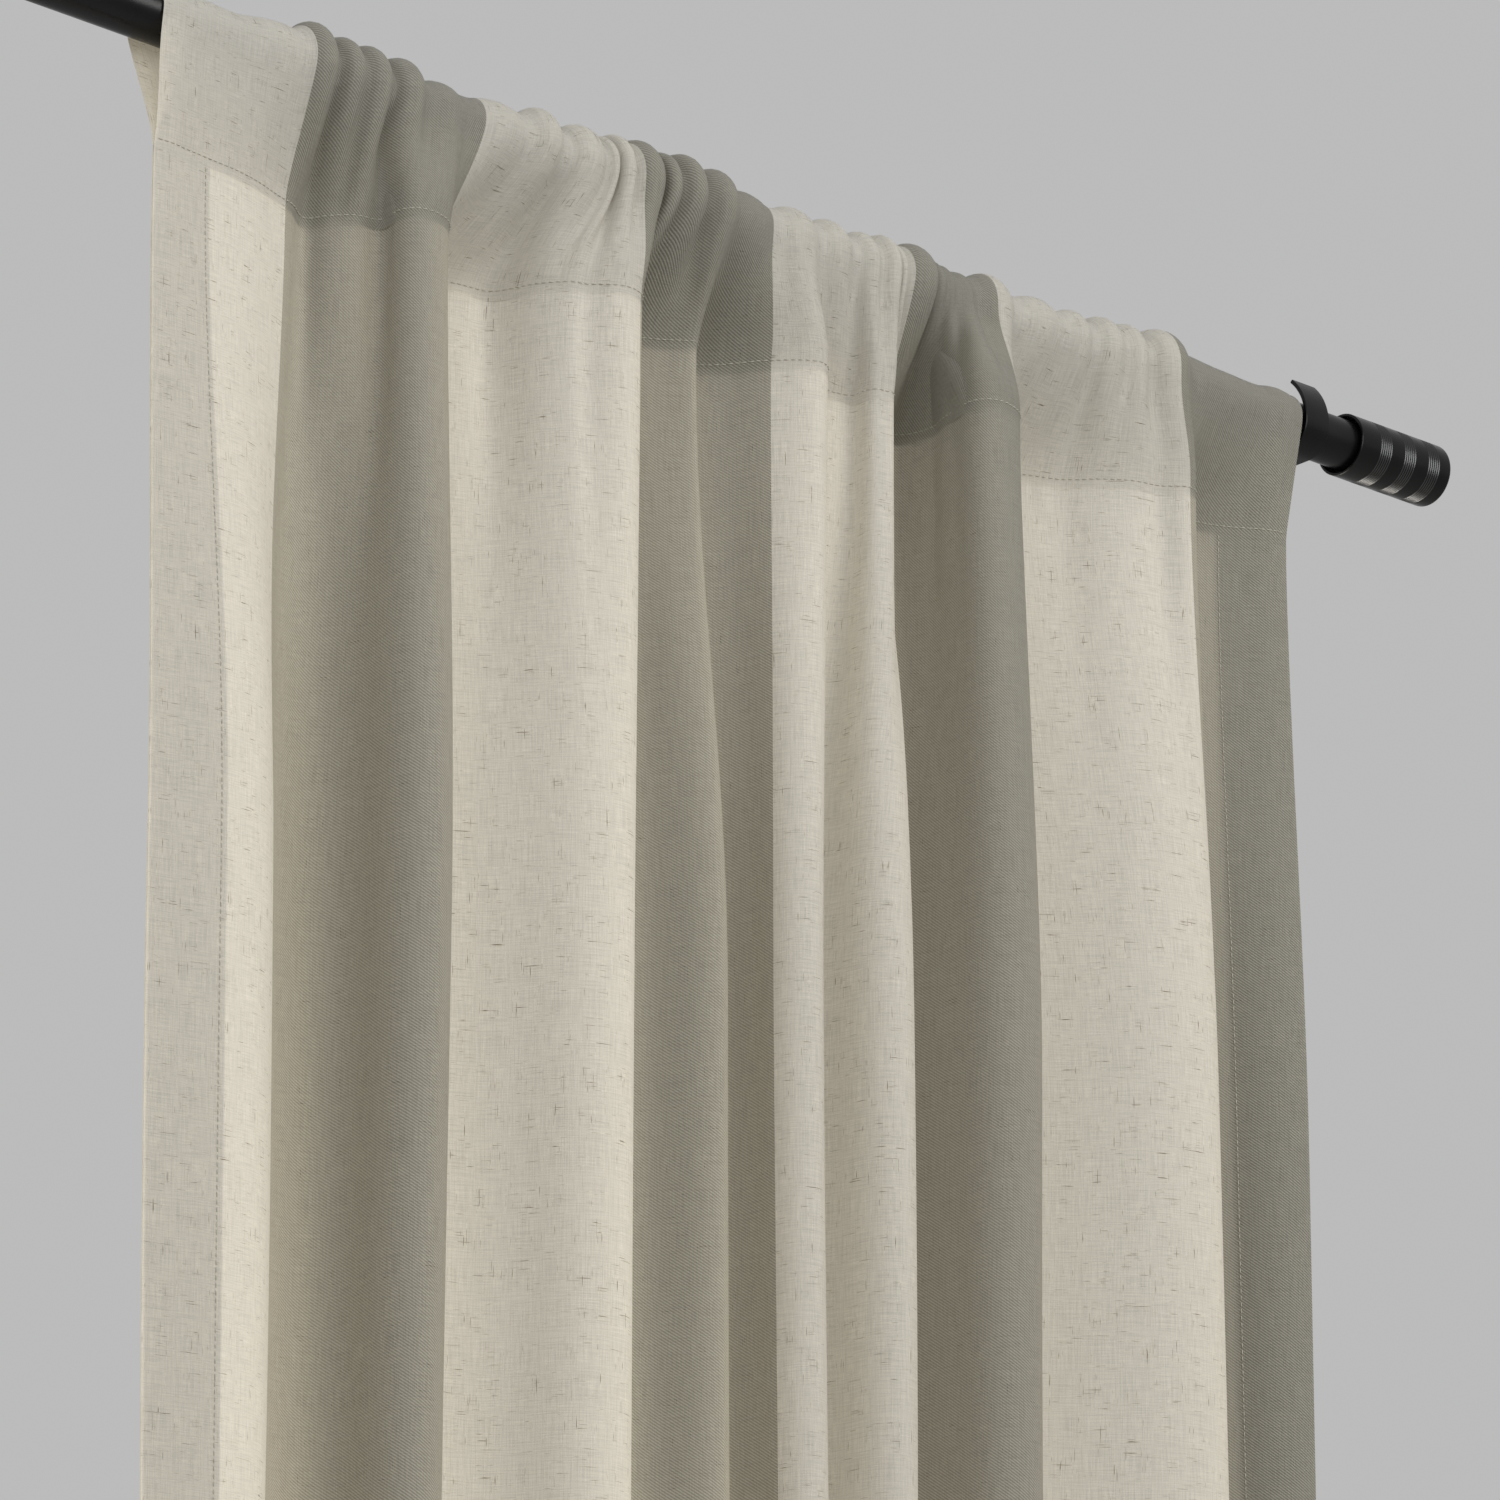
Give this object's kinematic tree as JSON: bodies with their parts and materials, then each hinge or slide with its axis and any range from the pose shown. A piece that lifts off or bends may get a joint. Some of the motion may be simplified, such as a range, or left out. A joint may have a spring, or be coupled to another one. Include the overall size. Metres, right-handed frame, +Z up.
{
  "type": "curtain panel",
  "caption": "Striped rod-pocket curtain panel gathered on a round metal rod with grooved end finials, resting in hook wall brackets.",
  "frame": {"origin": "middle of the right wall plate's back face, which rests on the wall", "axes": "+X along the rod to the right as seen from the room, +Y into the wall, +Z up"},
  "size_m": [1.31, 0.1459, 2.1451],
  "materials": {
    "cream_stripe": "linen-look plain weave with dark slubs, matt, lets light through",
    "sage_stripe": "fine twill stripe, matt, lets a little light through",
    "thread": "spun polyester sewing thread",
    "black_metal": "black satin powder coat",
    "zinc_steel": "zinc plated steel"
  },
  "bodies": {
    "brackets": {"right_wall_plate": "black_metal", "right_hook_strap": "black_metal", "right_upper_wall_screw": "zinc_steel", "right_lower_wall_screw": "zinc_steel", "left_wall_plate": "black_metal", "left_hook_strap": "black_metal", "left_upper_wall_screw": "zinc_steel", "left_lower_wall_screw": "zinc_steel"},
    "rod": {"rod_tube": "black_metal"},
    "right_finial": {"right_finial_shell": "black_metal", "right_finial_collar": "black_metal", "right_finial_set_screw": "zinc_steel"},
    "left_finial": {"left_finial_shell": "black_metal", "left_finial_collar": "black_metal", "left_finial_set_screw": "zinc_steel"},
    "panel_anchor": {"drop_sage_8": "sage_stripe", "pocket_sage_8": "sage_stripe", "bottom_hem": "cream_stripe", "right_side_hem": "sage_stripe", "bottom_hem_stitching": "thread", "right_hem_stitching": "thread", "pocket_seam_stitching": "thread"},
    "panel_cream_1": {"drop_cream_1": "cream_stripe", "pocket_cream_1": "cream_stripe", "left_side_hem": "cream_stripe", "left_hem_stitching": "thread"},
    "panel_sage_2": {"drop_sage_2": "sage_stripe", "pocket_sage_2": "sage_stripe"},
    "panel_cream_3": {"drop_cream_3": "cream_stripe", "pocket_cream_3": "cream_stripe"},
    "panel_sage_4": {"drop_sage_4": "sage_stripe", "pocket_sage_4": "sage_stripe"},
    "panel_cream_5": {"drop_cream_5": "cream_stripe", "pocket_cream_5": "cream_stripe"},
    "panel_sage_6": {"drop_sage_6": "sage_stripe", "pocket_sage_6": "sage_stripe"},
    "panel_cream_7": {"drop_cream_7": "cream_stripe", "pocket_cream_7": "cream_stripe"}
  },
  "joints": [
    {"name": "rod_lift", "type": "slide", "parent": "brackets", "child": "rod", "axis": [0, 0.7071, 0.7071], "range_m": [0, 0.05]},
    {"name": "right_finial_pull", "type": "slide", "parent": "rod", "child": "right_finial", "axis": [1, 0, 0], "range_m": [0, 0.04]},
    {"name": "left_finial_pull", "type": "slide", "parent": "rod", "child": "left_finial", "axis": [-1, 0, 0], "range_m": [0, 0.04]},
    {"name": "panel_slide", "type": "slide", "parent": "rod", "child": "panel_anchor", "axis": [-1, 0, 0], "range_m": [0, 0.37]},
    {"name": "panel_draw", "type": "slide", "parent": "panel_anchor", "child": "panel_cream_1", "axis": [1, 0, 0], "range_m": [0, 0.37532], "deforming": ["drop_cream_1", "pocket_cream_1", "left_side_hem", "left_hem_stitching", "drop_sage_8", "pocket_sage_8", "bottom_hem", "right_side_hem", "bottom_hem_stitching", "right_hem_stitching", "pocket_seam_stitching"]},
    {"name": "draw_sage_2", "type": "slide", "parent": "panel_anchor", "child": "panel_sage_2", "axis": [1, 0, 0], "range_m": [0, 0.33126], "deforming": ["drop_sage_2", "pocket_sage_2"]},
    {"name": "draw_cream_3", "type": "slide", "parent": "panel_anchor", "child": "panel_cream_3", "axis": [1, 0, 0], "range_m": [0, 0.27756], "deforming": ["drop_cream_3", "pocket_cream_3"]},
    {"name": "draw_sage_4", "type": "slide", "parent": "panel_anchor", "child": "panel_sage_4", "axis": [1, 0, 0], "range_m": [0, 0.22387], "deforming": ["drop_sage_4", "pocket_sage_4"]},
    {"name": "draw_cream_5", "type": "slide", "parent": "panel_anchor", "child": "panel_cream_5", "axis": [1, 0, 0], "range_m": [0, 0.17017], "deforming": ["drop_cream_5", "pocket_cream_5"]},
    {"name": "draw_sage_6", "type": "slide", "parent": "panel_anchor", "child": "panel_sage_6", "axis": [1, 0, 0], "range_m": [0, 0.11647], "deforming": ["drop_sage_6", "pocket_sage_6"]},
    {"name": "draw_cream_7", "type": "slide", "parent": "panel_anchor", "child": "panel_cream_7", "axis": [1, 0, 0], "range_m": [0, 0.06278], "deforming": ["drop_cream_7", "pocket_cream_7"]}
  ],
  "couplings": [
    {"joint": "draw_sage_2", "follows": "panel_draw", "ratio": 0.88084},
    {"joint": "draw_cream_3", "follows": "panel_draw", "ratio": 0.73806},
    {"joint": "draw_sage_4", "follows": "panel_draw", "ratio": 0.59528},
    {"joint": "draw_cream_5", "follows": "panel_draw", "ratio": 0.4525},
    {"joint": "draw_sage_6", "follows": "panel_draw", "ratio": 0.30972},
    {"joint": "draw_cream_7", "follows": "panel_draw", "ratio": 0.16694}
  ]
}
